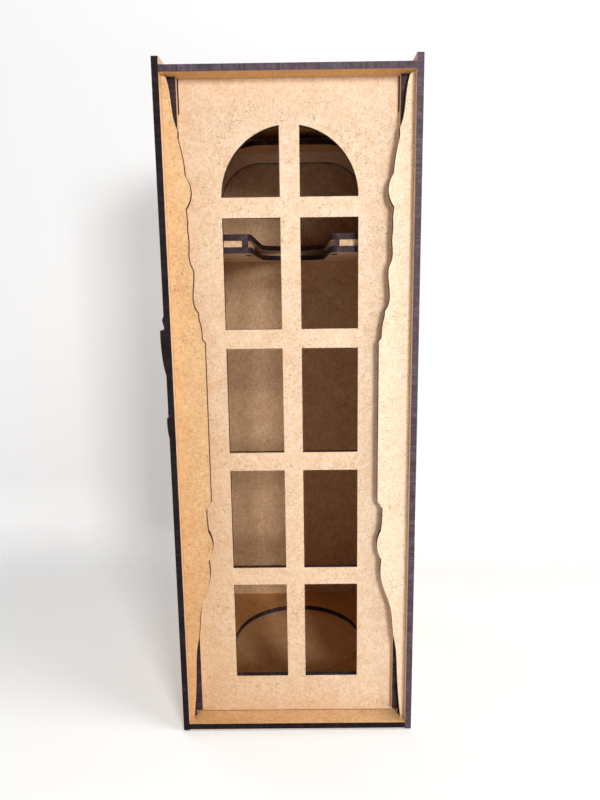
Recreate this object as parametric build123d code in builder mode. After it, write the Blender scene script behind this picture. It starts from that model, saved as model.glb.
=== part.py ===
from build123d import *
from math import atan, cos, hypot, pi, radians, sin, sqrt, tan
import os

# Wine bottle puzzle box of laser-cut board.
# Millimetres, +Z up, front towards -Y. The origin lies under the middle of
# the whole thing, knobs included, so the case itself sits a little to +X.

# The case
sheet = 3.0
width = 118.0
height = 326.6
depth = 140.0
corner_radius = 1.5
foot_height = 1.2
side_rise = 3.9
cavity = 3.0

# Clearances
slot_slack = 0.05
glue_gap = 0.02
side_play = 0.1
bearing_play = 0.05
edge_play = 0.1
notch_play = 0.3
bolt_notch_depth = 4.5
window_side_play = 0.6

# Tabs of the case panels
tab_length = 20.0
tab_inset = 32.0
back_tab_length = 24.0
back_tab_count = 4

# Column strips, rails, posts and the sliding window
strip_setback = 4.2
strip_gap = 0.05
column_width = 15.0
column_foot_height = 118.5
column_cap_height = 118.0
rail_width = 3.3
post_width = 8.5
window_shoulder = 15.0
window_top_gap = 0.5
window_rest_gap = 0.3
bottom_rail = 20.5
top_rail = 19.7
stile = 18.35
bar_width = 9.3
pane_rows = 4

# Bottle seat and neck shelf
seat_diameter = 79.0
seat_depth = 79.5
shelf_height = 239.0
shelf_setback = 2.0
shelf_tab_length = 16.0
shelf_tab_inset = 28.0
notch_width = 38.0
notch_wall = 14.0
mouth_radius = 3.0
spacer_inset = 3.0
spacer_setback = 0.5
web_edge = 1.2
web_length = 45.0
web_tab_start = 11.5
web_tab_length = 19.0
rear_spacer_depth = 87.0
end_spacer_gap = 4.0
peg_length = 4.5

# Rear arch board and the stop ledge under the top
arch_margin = 3.5
arch_radius = 26.0
arch_drop = 15.0
ledge_drop = 5.5
ledge_depth = 22.0
ledge_half = 38.0
ledge_flat_half = 22.0
ledge_bulge = 2.0
ledge_tab = 16.0

# Knobs, axles and bolts
axle_diameter = 6.0
washer_diameter = 22.0
knob_gap = 2.0
knob_disc_share = 0.85
knob_flat_share = 0.1
knob_cap_reach = 0.8
knob_cap_low = 0.27
knob_cap_top = 0.46
knob_neck_share = 0.62
upper_knob_depth = 61.5
upper_knob_drop = 40.2
upper_knob_radius = 29.0
lower_knob_depth = 53.4
lower_knob_radius = 15.0
gear_module = 1.5
gear_teeth = 12
rack_teeth = 7
pressure_angle = radians(25)
addendum = 0.8 * gear_module
dedendum = 1.1 * gear_module
backlash = 0.3
bolt_turn = radians(90)
bolt_height = 8.0
bolt_margin = 1.5
nose_height = 6.0
nose_length = 20.0
guide_height = 6.0

# Places that follow from the sizes above
knob_projection = side_play + 3 * sheet
case_x = knob_projection / 2
front_y = -depth / 2
half_width = width / 2
inner_half = half_width - sheet
rail_outer = inner_half - cavity
room_half = rail_outer - sheet
floor_top = foot_height + sheet
seat_top = floor_top + sheet
top_under = height - side_rise - sheet
back_face = depth - sheet
rail_front = strip_setback + sheet
post_back = rail_front + post_width
window_front = rail_front + rail_width + edge_play
window_back = window_front + sheet
window_low = floor_top + window_rest_gap
wall_front = window_back + edge_play
shelf_front = wall_front + shelf_setback
shelf_low = floor_top + shelf_height
shelf_mid = shelf_low + sheet
shelf_top = shelf_mid + sheet
web_outer = notch_width / 2 + web_edge + sheet
notch_end = back_face - notch_wall
end_spacer_depth = notch_end + end_spacer_gap
arch_face = back_face - sheet
ledge_low = top_under - ledge_drop - sheet
back_tab_pitch = (top_under - floor_top) / back_tab_count
back_tab_heights = [floor_top + back_tab_pitch * (i + 0.5) for i in range(back_tab_count)]
panel_tab_depths = [tab_inset, depth - tab_inset]
shelf_tab_depths = [shelf_front + shelf_tab_inset, back_face - shelf_tab_inset]
upper_knob_height = shelf_low - upper_knob_drop
lower_knob_height = upper_knob_height - upper_knob_radius - knob_gap - lower_knob_radius
pitch_radius = gear_module * gear_teeth / 2
rack_pitch = pi * gear_module
bolt_travel = pitch_radius * bolt_turn
bolt_front = post_back + bolt_travel + edge_play
nose_front = window_front + bolt_travel + edge_play
bolt_low = pitch_radius + dedendum
nose_low = bolt_low + (bolt_height - nose_height) / 2


def face_plane(at):
    """Upright plane across the case, `at` behind its front; local x and z."""
    return Plane(origin=(case_x, front_y + at, 0), x_dir=(1, 0, 0), z_dir=(0, -1, 0))


def side_plane(x):
    """Upright plane along the case; local x is the depth, local y the height."""
    return Plane(origin=(case_x + x, front_y, 0), x_dir=(0, 1, 0), z_dir=(1, 0, 0))


def level_plane(z):
    """Level plane; local x runs across the case, local y is the depth."""
    return Plane(origin=(case_x, front_y, z), x_dir=(1, 0, 0), z_dir=(0, 0, 1))


def layer_start(side, inner):
    """Lower x of a one-sheet layer whose inner face is `inner` off the middle."""
    return inner if side > 0 else -inner - sheet


def block(low, high, mode=Mode.ADD):
    """Rectangle between two corners of the current sketch."""
    with Locations(((low[0] + high[0]) / 2, (low[1] + high[1]) / 2)):
        Rectangle(high[0] - low[0], high[1] - low[1], mode=mode)


def cutout(low, high, slack=0.0):
    """Rectangular opening between two corners, wider all round by `slack`."""
    block((low[0] - slack, low[1] - slack), (high[0] + slack, high[1] + slack), Mode.SUBTRACT)


# The case
def side_panel(side, bearings):
    """Outer side: rounded board, slots for the tabs, holes for the axles."""
    with BuildPart() as panel:
        with BuildSketch(side_plane(layer_start(side, inner_half))):
            with Locations((depth / 2, height / 2)):
                RectangleRounded(depth, height, corner_radius)
            for at in panel_tab_depths:
                for low in (foot_height, top_under):
                    cutout((at - tab_length / 2, low), (at + tab_length / 2, low + sheet), slot_slack)
            for at in back_tab_heights:
                cutout((back_face, at - back_tab_length / 2),
                       (depth + sheet, at + back_tab_length / 2), slot_slack)
            for place in bearings:
                with Locations(place):
                    Circle(axle_diameter / 2 + bearing_play, mode=Mode.SUBTRACT)
        extrude(amount=sheet)
    return panel


def case_plate(low, window_slot):
    """Top or bottom board with two tabs on each side."""
    with BuildPart() as plate:
        with BuildSketch(level_plane(low)):
            block((-inner_half, 0), (inner_half, depth))
            for at in panel_tab_depths:
                block((-half_width, at - tab_length / 2), (half_width, at + tab_length / 2))
            if window_slot:
                cutout((-rail_outer, window_front), (rail_outer, window_back), edge_play)
        extrude(amount=sheet)
    return plate


upper_axle = (upper_knob_depth, upper_knob_height)
lower_axle = (lower_knob_depth, lower_knob_height)
left_side_panel = side_panel(-1, [upper_axle, lower_axle])
right_side_panel = side_panel(1, [])
bottom_panel = case_plate(foot_height, False)
top_panel = case_plate(top_under, True)

with BuildPart() as back_panel:
    with BuildSketch(face_plane(back_face)):
        block((-inner_half, floor_top), (inner_half, top_under))
        for at in back_tab_heights:
            block((-half_width, at - back_tab_length / 2), (half_width, at + back_tab_length / 2))
    extrude(amount=-sheet)


# The turned columns in front of the window
def column_strip(side):
    """Half of a turned column: foot, ring, plain shaft, capital and finial."""
    def up(share, rise):
        return (share * column_width, floor_top + rise * column_foot_height)

    def down(share, drop):
        return (share * column_width, top_under - drop * column_cap_height)

    edge = Plane(origin=(case_x + side * (inner_half - strip_gap), front_y + strip_setback, 0),
                 x_dir=(-side, 0, 0), z_dir=(0, side, 0))
    with BuildPart() as strip:
        with BuildSketch(edge):
            with BuildLine():
                Line(up(0, 0), up(0.127, 0))
                Spline(up(0.127, 0), up(0.207, 0.093), up(0.273, 0.219), up(0.32, 0.325),
                       up(0.407, 0.388))
                Spline(up(0.407, 0.388), up(0.473, 0.473), up(0.527, 0.523), up(0.727, 0.599),
                       up(0.873, 0.705))
                Line(up(0.873, 0.705), up(0.853, 0.743))
                ThreePointArc(up(0.853, 0.743), up(1, 0.802), up(0.873, 0.873))
                Spline(up(0.873, 0.873), up(0.84, 0.92), up(0.833, 0.97))
                Line(up(0.833, 0.97), up(1, 1))
                Line(up(1, 1), down(1, 1))
                Line(down(1, 1), down(0.913, 0.987))
                Spline(down(0.913, 0.987), down(0.887, 0.936), down(0.827, 0.903))
                Line(down(0.827, 0.903), down(0.82, 0.881))
                Spline(down(0.82, 0.881), down(0.72, 0.86), down(0.68, 0.801), down(0.7, 0.708))
                Spline(down(0.7, 0.708), down(0.6, 0.653), down(0.62, 0.606),
                       down(0.593, 0.564), down(0.607, 0.53))
                Line(down(0.607, 0.53), down(0.573, 0.483))
                ThreePointArc(down(0.573, 0.483), down(0.747, 0.424), down(0.593, 0.36))
                Spline(down(0.593, 0.36), down(0.527, 0.284), down(0.42, 0.225))
                Line(down(0.42, 0.225), down(0.433, 0.197))
                Spline(down(0.433, 0.197), down(0.353, 0.169), down(0.3, 0.131),
                       down(0.253, 0.068), down(0.173, 0.017))
                Spline(down(0.173, 0.017), down(0.127, 0.005), down(0.06, 0))
                Line(down(0.06, 0), down(0, 0))
                Line(down(0, 0), up(0, 0))
            make_face()
        extrude(amount=side * sheet)
    return strip


left_column_strip = column_strip(-1)
right_column_strip = column_strip(1)


# Inner side layers: posts in the cavity, rails before and walls behind the window
def upright(side, inner, start, end, low):
    """One-sheet board along the side from `start` to `end` behind the front."""
    with BuildPart() as board:
        with BuildSketch(side_plane(layer_start(side, inner))):
            block((start, low), (end, top_under))
        extrude(amount=sheet)
    return board


left_front_post = upright(-1, rail_outer, rail_front, post_back, floor_top)
right_front_post = upright(1, rail_outer, rail_front, post_back, floor_top)
left_rear_post = upright(-1, rail_outer, back_face - post_width, back_face, floor_top)
right_rear_post = upright(1, rail_outer, back_face - post_width, back_face, floor_top)
left_window_rail = upright(-1, room_half, rail_front, rail_front + rail_width, seat_top)
right_window_rail = upright(1, room_half, rail_front, rail_front + rail_width, seat_top)


def inner_wall(side, bearings):
    """Inner side: slots for the shelf tabs; on the bolt side also bearings."""
    with BuildPart() as wall:
        with BuildSketch(side_plane(layer_start(side, room_half))):
            block((wall_front, seat_top), (back_face, top_under))
            for at in shelf_tab_depths:
                for low in (shelf_low, shelf_top):
                    cutout((at - shelf_tab_length / 2, low),
                           (at + shelf_tab_length / 2, low + sheet), slot_slack)
            for place in bearings:
                with Locations(place):
                    Circle(axle_diameter / 2 + bearing_play, mode=Mode.SUBTRACT)
                low = place[1] + nose_low
                cutout((wall_front - sheet, low), (nose_front + nose_length, low + nose_height),
                       edge_play)
        extrude(amount=sheet)
    return wall


left_inner_wall = inner_wall(-1, [upper_axle, lower_axle])
right_inner_wall = inner_wall(1, [])

# The sliding window: four rows of panes under a round arch
with BuildPart() as sliding_window:
    pane_width = room_half - stile - bar_width / 2
    arch_outer = bar_width / 2 + pane_width
    pane_space = top_under - floor_top - bottom_rail - top_rail - arch_outer
    pane_height = pane_space / pane_rows - bar_width
    spring_line = floor_top + bottom_rail + pane_rows * (pane_height + bar_width)
    window_half = rail_outer - window_side_play
    with BuildSketch(face_plane(window_front)):
        block((-window_half, window_low), (window_half, top_under - window_shoulder))
        block((-room_half + window_top_gap, window_low), (room_half - window_top_gap, top_under + sheet))
        for row in range(pane_rows):
            low = floor_top + bottom_rail + row * (pane_height + bar_width)
            for side in (-1, 1):
                with Locations((side * (bar_width + pane_width) / 2, low + pane_height / 2)):
                    Rectangle(pane_width, pane_height, mode=Mode.SUBTRACT)
        for knob_height in (upper_knob_height, lower_knob_height):
            low = knob_height + nose_low
            cutout((-rail_outer, low - notch_play),
                   (-window_half + bolt_notch_depth, low + nose_height + notch_play))
    with BuildSketch(face_plane(window_front), mode=Mode.PRIVATE) as arch_panes:
        with Locations((0, spring_line)):
            Circle(arch_outer)
        cutout((-arch_outer, spring_line - arch_outer), (arch_outer, spring_line))
        cutout((-bar_width / 2, spring_line), (bar_width / 2, spring_line + arch_outer))
    extrude(amount=-sheet)
    extrude(arch_panes.sketch, amount=-sheet, mode=Mode.SUBTRACT)

# The bottle's seat on the floor and the neck shelf of two plates
with BuildPart() as bottle_seat:
    with BuildSketch(level_plane(floor_top)):
        block((-rail_outer, wall_front), (rail_outer, back_face))
        with Locations((0, seat_depth)):
            Circle(seat_diameter / 2, mode=Mode.SUBTRACT)
    extrude(amount=sheet)


def shelf_plate(low, pierced):
    """Neck shelf plate, open to the front; the lower one takes the spacer tabs."""
    with BuildPart() as plate:
        with BuildSketch(level_plane(low)):
            block((-room_half, shelf_front), (room_half, back_face))
            for at in shelf_tab_depths:
                block((-rail_outer, at - shelf_tab_length / 2),
                      (rail_outer, at + shelf_tab_length / 2))
            cutout((-notch_width / 2, 0), (notch_width / 2, notch_end - notch_width / 2))
            with Locations((0, notch_end - notch_width / 2)):
                Circle(notch_width / 2, mode=Mode.SUBTRACT)
            mouth = vertices().group_by(Axis.Y)[0].sort_by(Axis.X)[1:-1]
            fillet(mouth, mouth_radius)
            if pierced:
                for side in (-1, 1):
                    web = side * (web_outer - sheet / 2)
                    tab = shelf_front + web_tab_start
                    cutout((web - sheet / 2, tab), (web + sheet / 2, tab + web_tab_length), slot_slack)
                    for peg in peg_places(side):
                        cutout((peg - peg_length / 2, rear_spacer_depth),
                               (peg + peg_length / 2, rear_spacer_depth + sheet), slot_slack)
                cutout((-peg_length / 2, end_spacer_depth),
                       (peg_length / 2, end_spacer_depth + sheet), slot_slack)
        extrude(amount=sheet)
    return plate


def peg_places(side):
    """Middles of the two pegs under a rear spacer."""
    outer = room_half - spacer_inset
    return [side * (web_outer + peg_length), side * (outer - 2 * peg_length)]


def shelf_web(side):
    """Spacer along the notch, standing on a tab through the lower plate."""
    low_x = side * (web_outer - sheet / 2) - sheet / 2
    with BuildPart() as web:
        with BuildSketch(side_plane(low_x)):
            block((shelf_front, shelf_mid), (shelf_front + web_length, shelf_top))
            tab = shelf_front + web_tab_start
            block((tab, shelf_low), (tab + web_tab_length, shelf_top))
        extrude(amount=sheet)
    return web


def beside_notch(side):
    """Ends of a spacer between a web and its wall."""
    return sorted((side * web_outer, side * (room_half - spacer_inset)))


def shelf_spacer(ends, start, pegs):
    """Spacer across the shelf, with pegs in the lower plate if it has any."""
    with BuildPart() as spacer:
        with BuildSketch(face_plane(start)):
            block((ends[0], shelf_mid), (ends[1], shelf_top))
            for peg in pegs:
                block((peg - peg_length / 2, shelf_low), (peg + peg_length / 2, shelf_top))
        extrude(amount=-sheet)
    return spacer


neck_shelf_lower = shelf_plate(shelf_low, True)
neck_shelf_upper = shelf_plate(shelf_top, False)
left_shelf_web = shelf_web(-1)
right_shelf_web = shelf_web(1)
left_front_spacer = shelf_spacer(beside_notch(-1), shelf_front + spacer_setback, [])
right_front_spacer = shelf_spacer(beside_notch(1), shelf_front + spacer_setback, [])
left_rear_spacer = shelf_spacer(beside_notch(-1), rear_spacer_depth, peg_places(-1))
right_rear_spacer = shelf_spacer(beside_notch(1), rear_spacer_depth, peg_places(1))
notch_end_spacer = shelf_spacer((-web_outer, web_outer), end_spacer_depth, [0])

# The arch board against the back and the ledge above the bottle's neck
with BuildPart() as rear_arch:
    arch_width = 2 * (room_half - arch_margin)
    arch_top = top_under - arch_drop
    with BuildSketch(face_plane(arch_face)):
        block((-room_half, shelf_top + sheet), (room_half, top_under))
        with Locations((0, arch_top - arch_width / 2)):
            RectangleRounded(arch_width, arch_width, arch_radius, mode=Mode.SUBTRACT)
        for side in (-1, 1):
            middle = side * ledge_flat_half
            cutout((middle - ledge_tab / 2, ledge_low),
                   (middle + ledge_tab / 2, ledge_low + sheet), slot_slack)
    extrude(amount=-sheet)

with BuildPart() as stop_ledge:
    front = arch_face - ledge_depth
    chord = (ledge_half - ledge_flat_half, ledge_depth)
    bulge = ledge_bulge / hypot(*chord)
    shoulder = ((ledge_half + ledge_flat_half) / 2 + bulge * chord[1],
                arch_face - ledge_depth / 2 - bulge * chord[0])
    with BuildSketch(level_plane(ledge_low)):
        with BuildLine():
            Line((-ledge_half, arch_face), (ledge_half, arch_face))
            ThreePointArc((ledge_half, arch_face), shoulder, (ledge_flat_half, front))
            Line((ledge_flat_half, front), (-ledge_flat_half, front))
            ThreePointArc((-ledge_flat_half, front), (-shoulder[0], shoulder[1]),
                          (-ledge_half, arch_face))
        make_face()
        for side in (-1, 1):
            middle = side * ledge_flat_half
            block((middle - ledge_tab / 2, arch_face), (middle + ledge_tab / 2, back_face))
    extrude(amount=sheet)


# The two locks: knob, axle and pinion turn together and drive a toothed bolt
def turned_disc(axle, x, radius):
    """Round disc on an axle, lying against the side."""
    with BuildPart() as disc:
        with BuildSketch(side_plane(x)):
            with Locations(axle):
                Circle(radius)
                Circle(axle_diameter / 2 + glue_gap, mode=Mode.SUBTRACT)
        extrude(amount=sheet)
    return disc


def knob_plate(axle, radius):
    """Half-moon grip with a low cap over it, notched at both ends."""
    flat = knob_flat_share * radius
    neck = knob_neck_share * radius
    tip = (knob_cap_reach * radius, knob_cap_low * radius)
    with BuildPart() as plate:
        with BuildSketch(side_plane(-half_width - knob_projection)):
            with Locations(axle):
                Circle(radius)
            cutout((axle[0] - radius, axle[1] + flat), (axle[0] + radius, axle[1] + radius))
            with Locations(axle):
                with BuildSketch(mode=Mode.PRIVATE) as cap:
                    with BuildLine():
                        ThreePointArc((-tip[0], tip[1]), (0, knob_cap_top * radius), tip)
                        Polyline(tip, (neck, flat), (-neck, flat), (-tip[0], tip[1]))
                    make_face()
                add(cap.sketch)
                Circle(axle_diameter / 2 + glue_gap, mode=Mode.SUBTRACT)
        extrude(amount=sheet)
    return plate


def knob_axle(axle):
    """Round dowel from the knob's face to the inner wall."""
    with BuildPart() as dowel:
        with BuildSketch(side_plane(-half_width - knob_projection)):
            with Locations(axle):
                Circle(axle_diameter / 2)
        extrude(amount=half_width + knob_projection - room_half - side_play)
    return dowel


def pinion(axle):
    """Small gear with involute teeth, run in the cavity of the side."""
    base_radius = pitch_radius * cos(pressure_angle)
    tip_radius = pitch_radius + addendum
    root_radius = pitch_radius - dedendum
    half_tooth = pi / (2 * gear_teeth) - backlash / (4 * pitch_radius)

    def flank(radius):
        roll = sqrt((radius / base_radius) ** 2 - 1)
        turn = half_tooth + tan(pressure_angle) - pressure_angle - roll + atan(roll)
        return (radius * cos(turn), radius * sin(turn))

    foot = flank(base_radius)
    middle = flank(pitch_radius)
    tip = flank(tip_radius)
    inside = (root_radius * cos(half_tooth) - gear_module / 2, foot[1])
    with BuildSketch() as tooth:
        with BuildLine():
            Line((inside[0], -inside[1]), (foot[0], -foot[1]))
            ThreePointArc((foot[0], -foot[1]), (middle[0], -middle[1]), (tip[0], -tip[1]))
            ThreePointArc((tip[0], -tip[1]), (tip_radius, 0), tip)
            ThreePointArc(tip, middle, foot)
            Line(foot, inside)
            Line(inside, (inside[0], -inside[1]))
        make_face()
    with BuildPart() as gear:
        with BuildSketch(side_plane(-inner_half + side_play)):
            with Locations(axle):
                Circle(root_radius)
                with PolarLocations(0, gear_teeth):
                    add(tooth.sketch)
                Circle(axle_diameter / 2 + glue_gap, mode=Mode.SUBTRACT)
        extrude(amount=sheet - 2 * side_play)
    return gear


def bolt_end(axle):
    """Rear end of a bolt, behind its last tooth."""
    return axle[0] + (rack_teeth - 2) * rack_pitch + bolt_margin


def toothed_bolt(axle):
    """Flat bolt with a row of rack teeth along its lower edge."""
    low = axle[1] + bolt_low
    lean = tan(pressure_angle)
    half_pitch_tooth = rack_pitch / 4 - backlash / 4
    root = half_pitch_tooth + dedendum * lean
    tip = half_pitch_tooth - addendum * lean
    tooth_height = addendum + dedendum
    with BuildPart() as bolt:
        with BuildSketch(side_plane(-inner_half + side_play)):
            block((bolt_front, low), (bolt_end(axle), low + bolt_height))
            for k in range(rack_teeth):
                with Locations((axle[0] + (k - 1.5) * rack_pitch, low)):
                    with BuildSketch(mode=Mode.PRIVATE) as rack_tooth:
                        with BuildLine():
                            Polyline((-root, 0), (-tip, -tooth_height), (tip, -tooth_height),
                                     (root, 0), close=True)
                        make_face()
                    add(rack_tooth.sketch)
        extrude(amount=sheet - 2 * side_play)
    return bolt


def bolt_nose(axle):
    """Block on the bolt that enters the notch in the window's edge."""
    low = axle[1] + nose_low
    with BuildPart() as nose:
        with BuildSketch(side_plane(-rail_outer + side_play)):
            block((nose_front, low), (nose_front + nose_length, low + nose_height))
        extrude(amount=sheet - 2 * side_play)
        with BuildSketch(side_plane(-rail_outer - side_play)):
            block((bolt_front, low), (nose_front + nose_length, low + nose_height))
        extrude(amount=2 * side_play)
    return nose


def bolt_guide(low, end):
    """Guide strip from the front post back to `end`."""
    with BuildPart() as guide:
        with BuildSketch(side_plane(-inner_half)):
            block((post_back, low), (end, low + guide_height))
        extrude(amount=sheet)
    return guide


def lock(axle, radius):
    """All pieces of one lock, named by what they are."""
    bolt_base = axle[1] + bolt_low
    teeth_front = axle[0] - 2 * rack_pitch - bolt_travel - edge_play
    outside = -half_width - side_play
    return {
        "knob_washer": turned_disc(axle, outside - sheet, washer_diameter / 2),
        "knob_disc": turned_disc(axle, outside - 2 * sheet, radius * knob_disc_share),
        "knob_plate": knob_plate(axle, radius),
        "axle": knob_axle(axle),
        "pinion": pinion(axle),
        "bolt": toothed_bolt(axle),
        "bolt_nose": bolt_nose(axle),
        "bolt_top_guide": bolt_guide(bolt_base + bolt_height + edge_play, bolt_end(axle)),
        "bolt_bottom_guide": bolt_guide(bolt_base - edge_play - guide_height, teeth_front),
    }


pieces = {
    "left_side_panel": left_side_panel,
    "right_side_panel": right_side_panel,
    "top_panel": top_panel,
    "bottom_panel": bottom_panel,
    "back_panel": back_panel,
    "left_column_strip": left_column_strip,
    "right_column_strip": right_column_strip,
    "left_front_post": left_front_post,
    "right_front_post": right_front_post,
    "left_rear_post": left_rear_post,
    "right_rear_post": right_rear_post,
    "left_window_rail": left_window_rail,
    "right_window_rail": right_window_rail,
    "left_inner_wall": left_inner_wall,
    "right_inner_wall": right_inner_wall,
    "sliding_window": sliding_window,
    "bottle_seat": bottle_seat,
    "neck_shelf_lower": neck_shelf_lower,
    "neck_shelf_upper": neck_shelf_upper,
    "left_shelf_web": left_shelf_web,
    "right_shelf_web": right_shelf_web,
    "left_front_spacer": left_front_spacer,
    "right_front_spacer": right_front_spacer,
    "left_rear_spacer": left_rear_spacer,
    "right_rear_spacer": right_rear_spacer,
    "notch_end_spacer": notch_end_spacer,
    "rear_arch": rear_arch,
    "stop_ledge": stop_ledge,
}
for name, piece in lock(upper_axle, upper_knob_radius).items():
    pieces["upper_" + name] = piece
for name, piece in lock(lower_axle, lower_knob_radius).items():
    pieces["lower_" + name] = piece

os.makedirs("parts", exist_ok=True)
for name, piece in pieces.items():
    piece.part.label = name
    export_step(piece.part, f"parts/{name}.step")
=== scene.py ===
import math
import random

import bpy
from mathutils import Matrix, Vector

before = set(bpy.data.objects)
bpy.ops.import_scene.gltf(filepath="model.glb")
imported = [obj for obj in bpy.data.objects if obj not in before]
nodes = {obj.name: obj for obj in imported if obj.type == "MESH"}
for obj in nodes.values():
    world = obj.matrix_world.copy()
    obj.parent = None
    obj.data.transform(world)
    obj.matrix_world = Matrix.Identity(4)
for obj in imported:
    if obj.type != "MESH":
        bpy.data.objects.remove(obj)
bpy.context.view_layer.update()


# Node helpers
def srgb(r, g, b):
    """Linear colour, with alpha, of an 8-bit sRGB one."""
    def linear(v):
        v /= 255
        return v / 12.92 if v <= 0.04045 else ((v + 0.055) / 1.055) ** 2.4
    return (linear(r), linear(g), linear(b), 1.0)


def new_material(name):
    """Empty node material; returns it with its tree and its output node."""
    material = bpy.data.materials.new(name)
    material.use_nodes = True
    tree = material.node_tree
    tree.nodes.clear()
    return material, tree, tree.nodes.new("ShaderNodeOutputMaterial")


def math_node(tree, operation, a, b=None, c=None, clamp=False):
    """One Math node; a, b and c are sockets or numbers. Returns its output."""
    node = tree.nodes.new("ShaderNodeMath")
    node.operation = operation
    node.use_clamp = clamp
    for socket, value in zip(node.inputs, (a, b, c)):
        if value is None:
            continue
        if isinstance(value, (int, float)):
            socket.default_value = value
        else:
            tree.links.new(value, socket)
    return node.outputs[0]


def ramp(tree, value, stops):
    """Colour ramp over value; stops are (position, grey or colour)."""
    node = tree.nodes.new("ShaderNodeValToRGB")
    tree.links.new(value, node.inputs[0])
    points = node.color_ramp.elements
    while len(points) < len(stops):
        points.new(0.5)
    for point, (place, colour) in zip(points, stops):
        point.position = place
        point.color = (colour, colour, colour, 1) if isinstance(colour, (int, float)) else colour
    return node.outputs[0]


def mix(tree, factor, a, b, blend="MIX"):
    """Colour mix; factor, a and b are sockets or values. Sockets 0, 6 and 7 take them."""
    node = tree.nodes.new("ShaderNodeMix")
    node.data_type = "RGBA"
    node.blend_type = blend
    for index, value in ((0, factor), (6, a), (7, b)):
        if isinstance(value, (int, float, tuple)):
            node.inputs[index].default_value = value
        else:
            tree.links.new(value, node.inputs[index])
    return node.outputs[2]


def noise(tree, vector, scale, detail=3.0, roughness=0.55, distortion=0.0):
    """Noise texture on vector; returns its grey output."""
    node = tree.nodes.new("ShaderNodeTexNoise")
    node.inputs["Scale"].default_value = scale
    node.inputs["Detail"].default_value = detail
    node.inputs["Roughness"].default_value = roughness
    node.inputs["Distortion"].default_value = distortion
    tree.links.new(vector, node.inputs["Vector"])
    return node.outputs[0]


def stretched(tree, vector, scale, turn=(0.0, 0.0, 0.0), shift=(0.0, 0.0, 0.0)):
    """Mapping node; returns the changed vector."""
    node = tree.nodes.new("ShaderNodeMapping")
    node.inputs["Location"].default_value = shift
    node.inputs["Rotation"].default_value = turn
    node.inputs["Scale"].default_value = scale
    tree.links.new(vector, node.inputs["Vector"])
    return node.outputs[0]


# Fibreboard: pale, speckled faces and burnt, laser-cut edges
FACE_AXES = {"X": 0, "Y": 1, "Z": 2}
CLOUD_SHARE = 0.6
BLOTCH_SHARE = 1.2
FELT_SHARE = 2.0
SPECK_SHARE = 1.8
DARK_FIBRE_TURNS = ((0.3, 0.5, 0.2), (1.1, 0.4, 1.9), (2.2, 1.3, 0.8))
DARK_FIBRE_SCALES = ((420, 2300, 1300), (2100, 450, 1200), (1100, 2200, 430))
DARK_FIBRE_TINT = (0.56, 0.46, 0.4)
DARK_FIBRE_STRENGTH = 0.7
PALE_FIBRE_TURN = (0.9, 2.0, 0.4)
PALE_FIBRE_SCALE = (1500, 500, 1300)
PALE_FIBRE_TINT = (1.07, 1.12, 1.2)
PALE_FIBRE_STRENGTH = 0.5
LINES_ACROSS_CUT = 2100.0
LINES_ALONG_CUT = 120.0
FACE_LIMIT = 0.7
SCORCH_WIDTH = 0.00045
SCORCH_STRENGTH = 0.75
SCORCH_COLOUR = srgb(92, 58, 40)
EDGE_SPECULAR = 0.1
FACE_SPECULAR_GAIN = 0.22
# Painted shade: tint and slopes of the darker, browner shading towards the case's left side and foot, and
# how much of it front and other boards get
PAINTED_SHADE_TINT = (0.75, 0.62, 0.46, 1.0)
PAINTED_SHADE_TO_LEFT = -6.5
PAINTED_SHADE_TO_FOOT = -1.3
PAINTED_SHADE_MIDDLE = 0.45
FRONT_PAINTED_SHADE = 1.0
OTHER_PAINTED_SHADE = 0.3
GRAIN_SCALE = (60, 1900, 1900)
LOOK_SEED = 7


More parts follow.
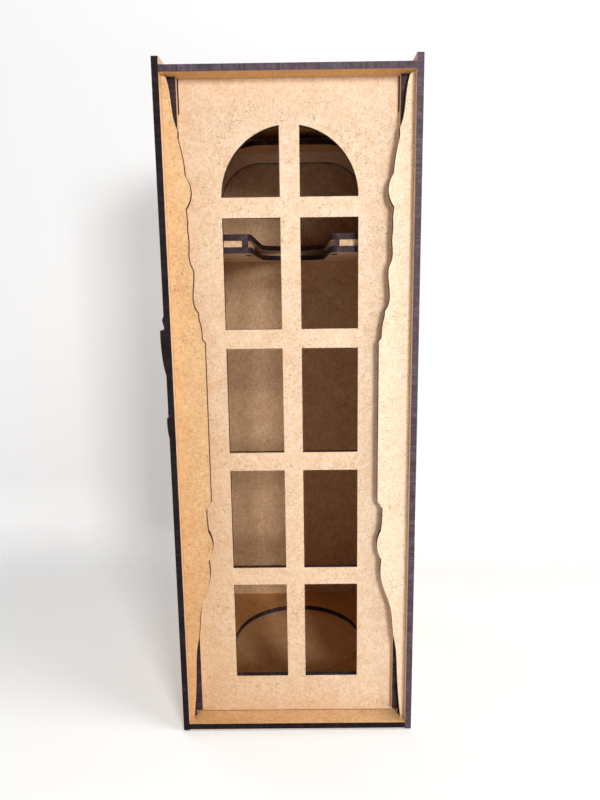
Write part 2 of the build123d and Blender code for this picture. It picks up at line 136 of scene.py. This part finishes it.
def board(name, axis, pale, deep, seed, soot_and_light, painted_shade_share):
    """Board whose faces look along axis; the other sides are burnt by the cut."""
    material, tree, output = new_material(name)
    links = tree.links
    place = tree.nodes.new("ShaderNodeTexCoord")
    shift = (seed, seed * 0.7, seed * 1.3)
    spot = stretched(tree, place.outputs["Object"], (1, 1, 1), shift=shift)

    clouds = noise(tree, spot, scale=38, detail=4.0, roughness=0.6, distortion=0.4)
    blotch = noise(tree, spot, scale=150, detail=3.0, roughness=0.6, distortion=0.8)
    felt = noise(tree, spot, scale=650, detail=4.0, roughness=0.7, distortion=0.6)
    speck = noise(tree, spot, scale=1500, detail=3.0, roughness=0.7, distortion=0.3)
    grit = noise(tree, spot, scale=2400, detail=2.0, roughness=0.6)
    tone = 0.5
    for layer, share in ((clouds, CLOUD_SHARE), (blotch, BLOTCH_SHARE),
                         (felt, FELT_SHARE), (speck, SPECK_SHARE)):
        share_of_layer = math_node(tree, "MULTIPLY", math_node(tree, "SUBTRACT", layer, 0.5), share)
        tone = math_node(tree, "ADD", share_of_layer, tone)
    tone = math_node(tree, "ADD", tone, 0.0, clamp=True)
    face = mix(tree, tone, deep, pale)

    dark_fibre = None
    for turn, scale in zip(DARK_FIBRE_TURNS, DARK_FIBRE_SCALES):
        line = noise(tree, stretched(tree, spot, scale, turn), scale=1.0, detail=2.0,
                     roughness=0.5, distortion=1.4)
        line = ramp(tree, line, ((0.60, 0.0), (0.69, 1.0)))
        dark_fibre = line if dark_fibre is None else math_node(tree, "MAXIMUM", dark_fibre, line)
    patch = noise(tree, spot, scale=75, detail=2.0, roughness=0.5)
    patch = ramp(tree, patch, ((0.38, 0.4), (0.62, 1.0)))
    dark_fibre = math_node(tree, "MULTIPLY", dark_fibre, patch)
    fibre_colour = tuple(c * f for c, f in zip(deep[:3], DARK_FIBRE_TINT)) + (1.0,)
    face = mix(tree, math_node(tree, "MULTIPLY", dark_fibre, DARK_FIBRE_STRENGTH), face, fibre_colour)
    pale_spot = stretched(tree, spot, PALE_FIBRE_SCALE, PALE_FIBRE_TURN)
    pale_fibre = noise(tree, pale_spot, scale=1.0, detail=2.0, roughness=0.5, distortion=1.8)
    pale_fibre = ramp(tree, pale_fibre, ((0.69, 0.0), (0.78, 1.0)))
    pale_fibre = math_node(tree, "MULTIPLY", pale_fibre, PALE_FIBRE_STRENGTH)
    pale_colour = tuple(min(1.0, c * f) for c, f in zip(pale[:3], PALE_FIBRE_TINT)) + (1.0,)
    face = mix(tree, pale_fibre, face, pale_colour)

    # Painted shade: the boards turn darker and browner towards the case's left side and foot, where the
    # lamps' light falls off; the front boards fully, the others a little
    spread = tree.nodes.new("ShaderNodeSeparateXYZ")
    links.new(place.outputs["Object"], spread.inputs[0])
    painted_shade = math_node(tree, "ADD", math_node(tree, "MULTIPLY", spread.outputs[0], PAINTED_SHADE_TO_LEFT),
                      math_node(tree, "MULTIPLY", spread.outputs[2], PAINTED_SHADE_TO_FOOT))
    painted_shade = math_node(tree, "ADD", painted_shade, PAINTED_SHADE_MIDDLE, clamp=True)
    painted_shade = math_node(tree, "MULTIPLY", painted_shade, painted_shade_share)
    face = mix(tree, painted_shade, face, mix(tree, 1.0, face, PAINTED_SHADE_TINT, "MULTIPLY"))

    # A cut edge has fine lines across the board's thickness
    lines = [LINES_ACROSS_CUT] * 3
    lines[FACE_AXES[axis]] = LINES_ALONG_CUT
    stripes = noise(tree, stretched(tree, spot, tuple(lines)), scale=1.0, detail=3.0, roughness=0.6)
    soot = noise(tree, spot, scale=210, detail=3.0, roughness=0.6, distortion=0.5)
    cut = math_node(tree, "ADD", math_node(tree, "MULTIPLY", stripes, 0.75),
                    math_node(tree, "MULTIPLY", soot, 0.5))
    # Soot colours of the cut edge; per board they also carry painted shade or painted sheen
    edge = ramp(tree, cut, ((0.4, soot_and_light[0]), (0.62, soot_and_light[1]), (0.84, soot_and_light[2])))

    normal = tree.nodes.new("ShaderNodeSeparateXYZ")
    links.new(place.outputs["Normal"], normal.inputs[0])
    facing = math_node(tree, "ABSOLUTE", normal.outputs[FACE_AXES[axis]])
    is_face = math_node(tree, "GREATER_THAN", facing, FACE_LIMIT)

    # The beam scorches a thin line along each cut
    rounded = tree.nodes.new("ShaderNodeBevel")
    rounded.samples = 6
    rounded.inputs["Radius"].default_value = SCORCH_WIDTH
    geometry = tree.nodes.new("ShaderNodeNewGeometry")
    lean = tree.nodes.new("ShaderNodeVectorMath")
    lean.operation = "DOT_PRODUCT"
    links.new(rounded.outputs[0], lean.inputs[0])
    links.new(geometry.outputs["Normal"], lean.inputs[1])
    scorch = ramp(tree, lean.outputs["Value"], ((0.80, 1.0), (0.985, 0.0)))
    scorch = math_node(tree, "MULTIPLY", scorch, SCORCH_STRENGTH)
    face = mix(tree, scorch, face, SCORCH_COLOUR)

    shader = tree.nodes.new("ShaderNodeBsdfPrincipled")
    links.new(mix(tree, is_face, edge, face), shader.inputs["Base Color"])
    face_rough = ramp(tree, felt, ((0.3, 0.66), (0.7, 0.82)))
    edge_rough = ramp(tree, stripes, ((0.3, 0.4), (0.7, 0.62)))
    links.new(mix(tree, is_face, edge_rough, face_rough), shader.inputs["Roughness"])
    specular = math_node(tree, "MULTIPLY_ADD", is_face, FACE_SPECULAR_GAIN, EDGE_SPECULAR)
    links.new(specular, shader.inputs["Specular IOR Level"])

    face_height = math_node(tree, "ADD", math_node(tree, "MULTIPLY", felt, 0.6),
                            math_node(tree, "MULTIPLY", grit, 0.4))
    height = mix(tree, is_face, stripes, face_height)
    bump = tree.nodes.new("ShaderNodeBump")
    bump.inputs["Strength"].default_value = 0.35
    bump.inputs["Distance"].default_value = 0.00012
    links.new(height, bump.inputs["Height"])
    links.new(bump.outputs[0], shader.inputs["Normal"])
    links.new(shader.outputs[0], output.inputs["Surface"])
    return material


def dowel(name, pale, deep):
    """Bare round dowel along X: long grain on the side, fine pores on the ends."""
    material, tree, output = new_material(name)
    links = tree.links
    place = tree.nodes.new("ShaderNodeTexCoord")
    along = stretched(tree, place.outputs["Object"], GRAIN_SCALE)
    grain = noise(tree, along, scale=1.0, detail=4.0, roughness=0.6, distortion=0.3)
    pores = noise(tree, place.outputs["Object"], scale=3200, detail=2.0, roughness=0.5)
    tone = math_node(tree, "ADD", math_node(tree, "MULTIPLY", grain, 0.8),
                     math_node(tree, "MULTIPLY", pores, 0.3))
    colour = mix(tree, ramp(tree, tone, ((0.38, 0.0), (0.72, 1.0))), deep, pale)
    shader = tree.nodes.new("ShaderNodeBsdfPrincipled")
    links.new(colour, shader.inputs["Base Color"])
    links.new(ramp(tree, grain, ((0.3, 0.5), (0.7, 0.68))), shader.inputs["Roughness"])
    bump = tree.nodes.new("ShaderNodeBump")
    bump.inputs["Strength"].default_value = 0.3
    bump.inputs["Distance"].default_value = 0.0001
    links.new(tone, bump.inputs["Height"])
    links.new(bump.outputs[0], shader.inputs["Normal"])
    links.new(shader.outputs[0], output.inputs["Surface"])
    return material


# Which way each board's faces look
ACROSS = ("back_panel", "sliding_window", "rear_arch", "left_column_strip", "right_column_strip",
          "left_front_spacer", "right_front_spacer", "left_rear_spacer", "right_rear_spacer",
          "notch_end_spacer")
# Front boards get the full painted shade towards the left and foot
FRONT = ("sliding_window", "left_column_strip", "right_column_strip", "bottom_panel")
LEVEL = ("top_panel", "bottom_panel", "bottle_seat", "neck_shelf_lower", "neck_shelf_upper", "stop_ledge")

PALE = srgb(247, 220, 190)
DEEP = srgb(225, 186, 146)
WINDOW_PALE = srgb(246, 220, 193)
WINDOW_DEEP = srgb(225, 187, 149)
# Painted shade: a darker, warmer copy of the board colour for boards that lie in shade (left column strip,
# bottom panel, stop ledge)
SHADED_WARM_PALE = srgb(243, 206, 160)
SHADED_WARM_DEEP = srgb(216, 170, 121)
# Painted light: a paler, cooler copy of the board colour for the lit right column strip
LIT_COOL_PALE = srgb(253, 230, 203)
LIT_COOL_DEEP = srgb(238, 204, 168)
# Painted shade: a darker copy of the board colour for the boards inside the case and in the front recess
SHADED_INNER_PALE = srgb(232, 199, 162)
SHADED_INNER_DEEP = srgb(198, 156, 114)
# Painted shade: a darker, golden copy of the board colour for the top panel, whose underside lies in shade,
# and for the bottle seat inside
SHADED_GOLD_PALE = srgb(222, 172, 112)
SHADED_GOLD_DEEP = srgb(190, 137, 80)
# Burnt-edge colours: soot with painted shade (darker), plain soot, and soot with painted sheen (paler,
# purple-grey)
SOOT_WITH_PAINTED_SHADE = (srgb(12, 6, 6), srgb(27, 18, 20), srgb(50, 38, 42))
BROWN_SOOT = (srgb(26, 15, 15), srgb(54, 38, 41), srgb(90, 70, 74))
SOOT_WITH_PAINTED_SHEEN = (srgb(52, 40, 45), srgb(79, 66, 73), srgb(108, 95, 104))
DOWEL_PALE = srgb(233, 204, 160)
DOWEL_DEEP = srgb(205, 168, 120)

# Boards that differ from the rest: colours of the faces, some of them with painted shade or painted light,
# and soot on the edges, some with painted shade or painted sheen
FACE_COLOURS = {
    "sliding_window": (WINDOW_PALE, WINDOW_DEEP),
    "top_panel": (SHADED_GOLD_PALE, SHADED_GOLD_DEEP),
    "bottom_panel": (SHADED_WARM_PALE, SHADED_WARM_DEEP),
    "left_column_strip": (SHADED_WARM_PALE, SHADED_WARM_DEEP),
    "stop_ledge": (SHADED_WARM_PALE, SHADED_WARM_DEEP),
    "right_column_strip": (LIT_COOL_PALE, LIT_COOL_DEEP),
    "back_panel": (SHADED_INNER_PALE, SHADED_INNER_DEEP),
    "left_inner_wall": (SHADED_INNER_PALE, SHADED_INNER_DEEP),
    "right_inner_wall": (SHADED_INNER_PALE, SHADED_INNER_DEEP),
    "left_front_spacer": (SHADED_INNER_PALE, SHADED_INNER_DEEP),
    "right_front_spacer": (SHADED_INNER_PALE, SHADED_INNER_DEEP),
    "bottle_seat": (SHADED_GOLD_PALE, SHADED_GOLD_DEEP),
}
# Edge soot per board: painted shade on edges that lie in shade (left side panel, column strips, bottom
# panel), painted sheen on edges facing the light (right side panel, top panel)
EDGE_SOOT_AND_LIGHT = {
    "left_side_panel": SOOT_WITH_PAINTED_SHADE,
    "left_column_strip": SOOT_WITH_PAINTED_SHADE,
    "right_column_strip": SOOT_WITH_PAINTED_SHADE,
    "bottom_panel": SOOT_WITH_PAINTED_SHADE,
    "right_side_panel": SOOT_WITH_PAINTED_SHEEN,
    "top_panel": SOOT_WITH_PAINTED_SHEEN,
}

seed_source = random.Random(LOOK_SEED)
for name in sorted(nodes):
    seed = seed_source.uniform(-1.0, 1.0)
    if name.endswith("axle"):
        look = dowel("look_" + name, DOWEL_PALE, DOWEL_DEEP)
    else:
        axis = "Y" if name in ACROSS else "Z" if name in LEVEL else "X"
        pale, deep = FACE_COLOURS.get(name, (PALE, DEEP))
        painted_shade_share = FRONT_PAINTED_SHADE if name in FRONT else OTHER_PAINTED_SHADE
        look = board("look_" + name, axis, pale, deep, seed, EDGE_SOOT_AND_LIGHT.get(name, BROWN_SOOT), painted_shade_share)
    mesh = nodes[name].data
    mesh.materials.clear()
    mesh.materials.append(look)


# Floor, backdrop and light
AMBIENT = 0.18
SHEET_HALF = 12.0
FLOOR_LEVEL = 0.92
FADE_BEGINS = 0.5
FADE_ENDS = 0.97
FLOOR_PAPER = 0.9
FLOOR_GLOW = 0.2
WALL_PAPER = 0.66
WALL_GLOW = 0.28
BEND_START = 0.085
BEND_RADIUS = 0.07
BEND_STEPS = 24
BACKDROP_LIFT = 0.0005
NEAR = 0.38
FAR = 0.9
FAR_GLOW = 1.0


def paper_material(name, one_sided):
    """White paper that glows for the camera and keeps the object's shadow.

    Its shade goes from the floor's to the wall's as it turns upright, and it
    glows more further off. One-sided paper is there for the camera only, and
    only from its front, and fades out where it lies level.
    """
    material, tree, output = new_material(name)
    links = tree.links
    shape = tree.nodes.new("ShaderNodeNewGeometry")
    normal = tree.nodes.new("ShaderNodeSeparateXYZ")
    links.new(shape.outputs["Normal"], normal.inputs[0])
    level = math_node(tree, "ABSOLUTE", normal.outputs[2])
    paper = tree.nodes.new("ShaderNodeBsdfDiffuse")
    links.new(ramp(tree, level, ((0.0, WALL_PAPER), (FLOOR_LEVEL, FLOOR_PAPER))), paper.inputs["Color"])
    shine = ramp(tree, level, ((0.0, WALL_GLOW), (FLOOR_LEVEL, FLOOR_GLOW)))
    far = tree.nodes.new("ShaderNodeVectorMath")
    far.operation = "LENGTH"
    links.new(shape.outputs["Position"], far.inputs[0])
    reach = tree.nodes.new("ShaderNodeMapRange")
    reach.interpolation_type = "SMOOTHSTEP"
    reach.inputs["From Min"].default_value = NEAR
    reach.inputs["From Max"].default_value = FAR
    reach.inputs["To Max"].default_value = FAR_GLOW
    links.new(far.outputs["Value"], reach.inputs["Value"])
    shine = math_node(tree, "MAXIMUM", shine, reach.outputs[0])
    rays = tree.nodes.new("ShaderNodeLightPath")
    glow = tree.nodes.new("ShaderNodeEmission")
    glow.inputs["Color"].default_value = (1, 1, 1, 1)
    links.new(math_node(tree, "MULTIPLY", rays.outputs["Is Camera Ray"], shine), glow.inputs["Strength"])
    both = tree.nodes.new("ShaderNodeAddShader")
    links.new(paper.outputs[0], both.inputs[0])
    links.new(glow.outputs[0], both.inputs[1])
    surface = both.outputs[0]
    if one_sided:
        front = math_node(tree, "SUBTRACT", 1.0, shape.outputs["Backfacing"])
        upright = ramp(tree, level, ((FADE_BEGINS, 1.0), (FADE_ENDS, 0.0)))
        shown = math_node(tree, "MULTIPLY", front, upright)
        clear = tree.nodes.new("ShaderNodeBsdfTransparent")
        choice = tree.nodes.new("ShaderNodeMixShader")
        links.new(math_node(tree, "MULTIPLY", shown, rays.outputs["Is Camera Ray"]), choice.inputs[0])
        links.new(clear.outputs[0], choice.inputs[1])
        links.new(surface, choice.inputs[2])
        surface = choice.outputs[0]
    links.new(surface, output.inputs["Surface"])
    return material


def stage_sheet(name, profile, material):
    """Wide sheet of paper along X; profile is a list of (depth, height) from the front back."""
    corners = [(side * SHEET_HALF, depth, height) for depth, height in profile for side in (-1, 1)]
    faces = [(2 * i, 2 * i + 1, 2 * i + 3, 2 * i + 2) for i in range(len(profile) - 1)]
    mesh = bpy.data.meshes.new(name)
    mesh.from_pydata(corners, [], faces)
    mesh.polygons.foreach_set("use_smooth", [True] * len(faces))
    mesh.materials.append(material)
    sheet = bpy.data.objects.new(name, mesh)
    bpy.context.collection.objects.link(sheet)


def stage():
    """Level floor, and behind the case a backdrop that curves up from it."""
    stage_sheet("stage_floor", [(-SHEET_HALF, 0.0), (SHEET_HALF, 0.0)], paper_material("floor_paper", False))
    bend = []
    for step in range(BEND_STEPS + 1):
        turn = math.pi / 2 * step / BEND_STEPS
        bend.append((BEND_START + BEND_RADIUS * math.sin(turn),
                     BACKDROP_LIFT + BEND_RADIUS * (1 - math.cos(turn))))
    bend.append((BEND_START + BEND_RADIUS, SHEET_HALF))
    stage_sheet("stage_backdrop", bend, paper_material("backdrop_paper", True))


def area_light(name, place, aim, size, power, colour=(1, 1, 1)):
    """Square soft box at place, turned to aim."""
    data = bpy.data.lights.new(name, "AREA")
    data.size = size
    data.energy = power
    data.color = colour
    lamp = bpy.data.objects.new(name, data)
    bpy.context.collection.objects.link(lamp)
    lamp.location = place
    lamp.rotation_euler = (Vector(aim) - Vector(place)).to_track_quat("-Z", "Y").to_euler()


def around(azimuth, elevation, distance, aim_height=0.17):
    """Place at an azimuth to the right of the front, looked at from the case."""
    turn, lift = math.radians(azimuth), math.radians(elevation)
    return (distance * math.sin(turn) * math.cos(lift), -distance * math.cos(turn) * math.cos(lift),
            aim_height + distance * math.sin(lift))


stage()
area_light("key", around(azimuth=19, elevation=14, distance=1.3), aim=(0.0, 0.0, 0.2),
           size=0.28, power=11.6, colour=(0.98, 0.99, 1.0))
area_light("high", around(azimuth=64, elevation=54, distance=1.2), aim=(0.0, 0.0, 0.1),
           size=0.45, power=6.2)
area_light("top", (0.0, 0.1, 1.5), aim=(0.0, 0.0, 0.1), size=1.0, power=2.5)
area_light("back", around(azimuth=232, elevation=7, distance=1.4), aim=(0.0, 0.0, 0.15),
           size=0.8, power=7.0)

world = bpy.data.worlds.new("studio")
bpy.context.scene.world = world
world.use_nodes = True
sky = world.node_tree
sky.nodes["Background"].inputs["Color"].default_value = (1.0, 1.0, 1.0, 1)
paths = sky.nodes.new("ShaderNodeLightPath")
seen = math_node(sky, "MAXIMUM", paths.outputs["Is Camera Ray"],
                 math_node(sky, "MAXIMUM", paths.outputs["Is Glossy Ray"],
                           paths.outputs["Is Transmission Ray"]))
sky.links.new(math_node(sky, "ADD", math_node(sky, "MULTIPLY", seen, 1.0 - AMBIENT), AMBIENT),
              sky.nodes["Background"].inputs["Strength"])

# Camera as in the photograph
CAMERA_PLACE = (0.00986, -0.37004, 0.22938)
LENS = 29.08
SENSOR = 36
NEAREST = 0.01
PITCH = math.radians(10.316)
ROLL = math.radians(-0.726)
YAW = math.radians(-0.337)
forward = Vector((math.sin(YAW) * math.cos(PITCH), math.cos(YAW) * math.cos(PITCH), -math.sin(PITCH)))
level_right = Vector((math.cos(YAW), -math.sin(YAW), 0.0))
level_up = level_right.cross(forward)
right = level_right * math.cos(ROLL) + level_up * math.sin(ROLL)
up = level_up * math.cos(ROLL) - level_right * math.sin(ROLL)
camera_data = bpy.data.cameras.new("camera")
camera_data.sensor_width = SENSOR
camera_data.lens = LENS
camera_data.clip_start = NEAREST
camera = bpy.data.objects.new("camera", camera_data)
bpy.context.collection.objects.link(camera)
matrix = camera.matrix_world.copy()
for row in range(3):
    matrix[row][0] = right[row]
    matrix[row][1] = up[row]
    matrix[row][2] = -forward[row]
    matrix[row][3] = CAMERA_PLACE[row]
camera.matrix_world = matrix
bpy.context.scene.camera = camera
bpy.context.scene.view_settings.view_transform = "Standard"
